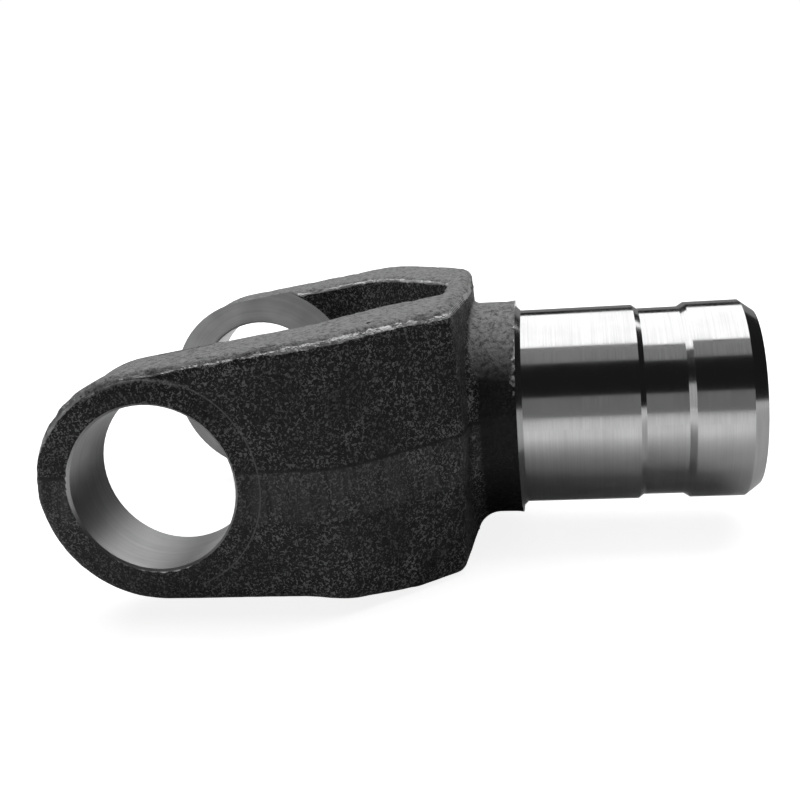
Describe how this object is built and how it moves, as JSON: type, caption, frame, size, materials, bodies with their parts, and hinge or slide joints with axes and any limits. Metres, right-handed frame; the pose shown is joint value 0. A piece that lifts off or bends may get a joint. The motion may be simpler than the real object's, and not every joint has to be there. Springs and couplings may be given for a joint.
{
  "type": "forged yoke",
  "caption": "Forged steel driveline yoke: two bored ears joined by a tapered base, with a short neck and a turned spigot that has a relief between its lands.",
  "frame": {"origin": "where the axis of the cross bore meets the axis of the spigot", "axes": "+X along the spigot's axis towards its free end, Y along the cross bore, Z in the direction in which the forging dies close"},
  "size_m": [0.1322, 0.0968, 0.0513],
  "materials": {
    "forged_steel": "black forged skin, with the bores, the inner ear faces and the spigot machined bright"
  },
  "bodies": {
    "root": {"yoke": "forged_steel"}
  },
  "joints": []
}
